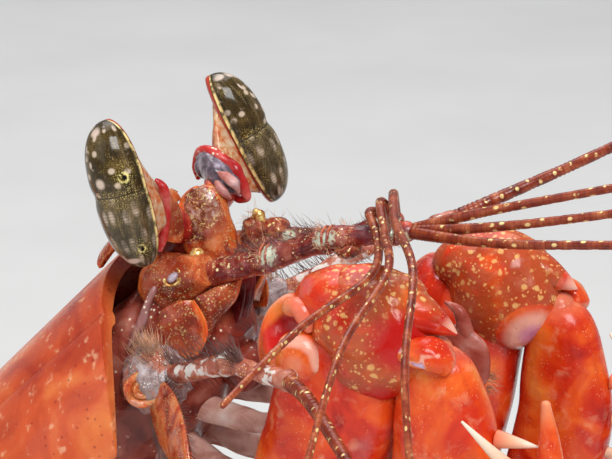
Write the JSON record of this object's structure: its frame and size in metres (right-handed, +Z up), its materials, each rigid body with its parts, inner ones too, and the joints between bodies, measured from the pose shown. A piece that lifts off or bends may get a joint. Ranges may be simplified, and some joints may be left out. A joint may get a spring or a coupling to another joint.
{
  "type": "mantis shrimp",
  "caption": "Life-size still model of a spearing mantis shrimp, front raised on its walking legs, eyes up and toothed claws folded, resting on its legs and tail fan.",
  "frame": {"origin": "on the floor, under the middle of the whole animal's box", "axes": "+Z up; the tail points to +Y and the head to -Y; +X is the animal's left side"},
  "size_m": [0.0584, 0.2412, 0.0767],
  "materials": {
    "shell": "hard orange-red shell with paler bands, satin gloss",
    "face": "amber-orange thin shell, glossy and slightly see-through",
    "cornea": "glossy olive-brown eye surface with cream spots",
    "eyestalk": "glossy pink-red soft shell",
    "feeler": "maroon-brown shell with gold flecks",
    "claw": "glossy orange-red hard shell with pale margins",
    "walking_leg": "satin orange-brown shell",
    "pale_limb": "satin pale pinkish thin shell"
  },
  "bodies": {
    "root": {"carapace": "shell", "thorax_front": "shell", "thorax_6": "shell", "thorax_7": "shell", "thorax_8": "shell", "abdomen_1": "shell", "abdomen_2": "shell", "abdomen_3": "shell", "abdomen_4": "shell", "abdomen_5": "shell", "abdomen_6": "shell", "telson": "shell", "uropod_left": "shell", "uropod_right": "shell", "head": "face", "rostral_plate": "face", "cornea_left": "cornea", "cornea_right": "cornea", "eyestalk_left": "eyestalk", "eyestalk_right": "eyestalk", "antennule_left": "feeler", "antennule_right": "feeler", "antennule_flagella_left": "feeler", "antennule_flagella_right": "feeler", "antenna_left": "feeler", "antenna_right": "feeler", "claw_base_left": "claw", "claw_base_right": "claw", "claw_merus_left": "claw", "claw_merus_right": "claw", "claw_carpus_left": "claw", "claw_carpus_right": "claw", "claw_propodus_left": "claw", "claw_propodus_right": "claw", "claw_dactyl_left": "claw", "claw_dactyl_right": "claw", "maxilliped_1_left": "pale_limb", "maxilliped_1_right": "pale_limb", "maxilliped_3_left": "pale_limb", "maxilliped_3_right": "pale_limb", "maxilliped_4_left": "pale_limb", "maxilliped_4_right": "pale_limb", "maxilliped_5_left": "pale_limb", "maxilliped_5_right": "pale_limb", "walking_leg_1_left": "walking_leg", "walking_leg_1_right": "walking_leg", "walking_leg_2_left": "walking_leg", "walking_leg_2_right": "walking_leg", "walking_leg_3_left": "walking_leg", "walking_leg_3_right": "walking_leg", "pleopod_1_left": "pale_limb", "pleopod_1_right": "pale_limb", "pleopod_2_left": "pale_limb", "pleopod_2_right": "pale_limb", "pleopod_3_left": "pale_limb", "pleopod_3_right": "pale_limb", "pleopod_4_left": "pale_limb", "pleopod_4_right": "pale_limb", "pleopod_5_left": "pale_limb", "pleopod_5_right": "pale_limb"}
  },
  "joints": []
}
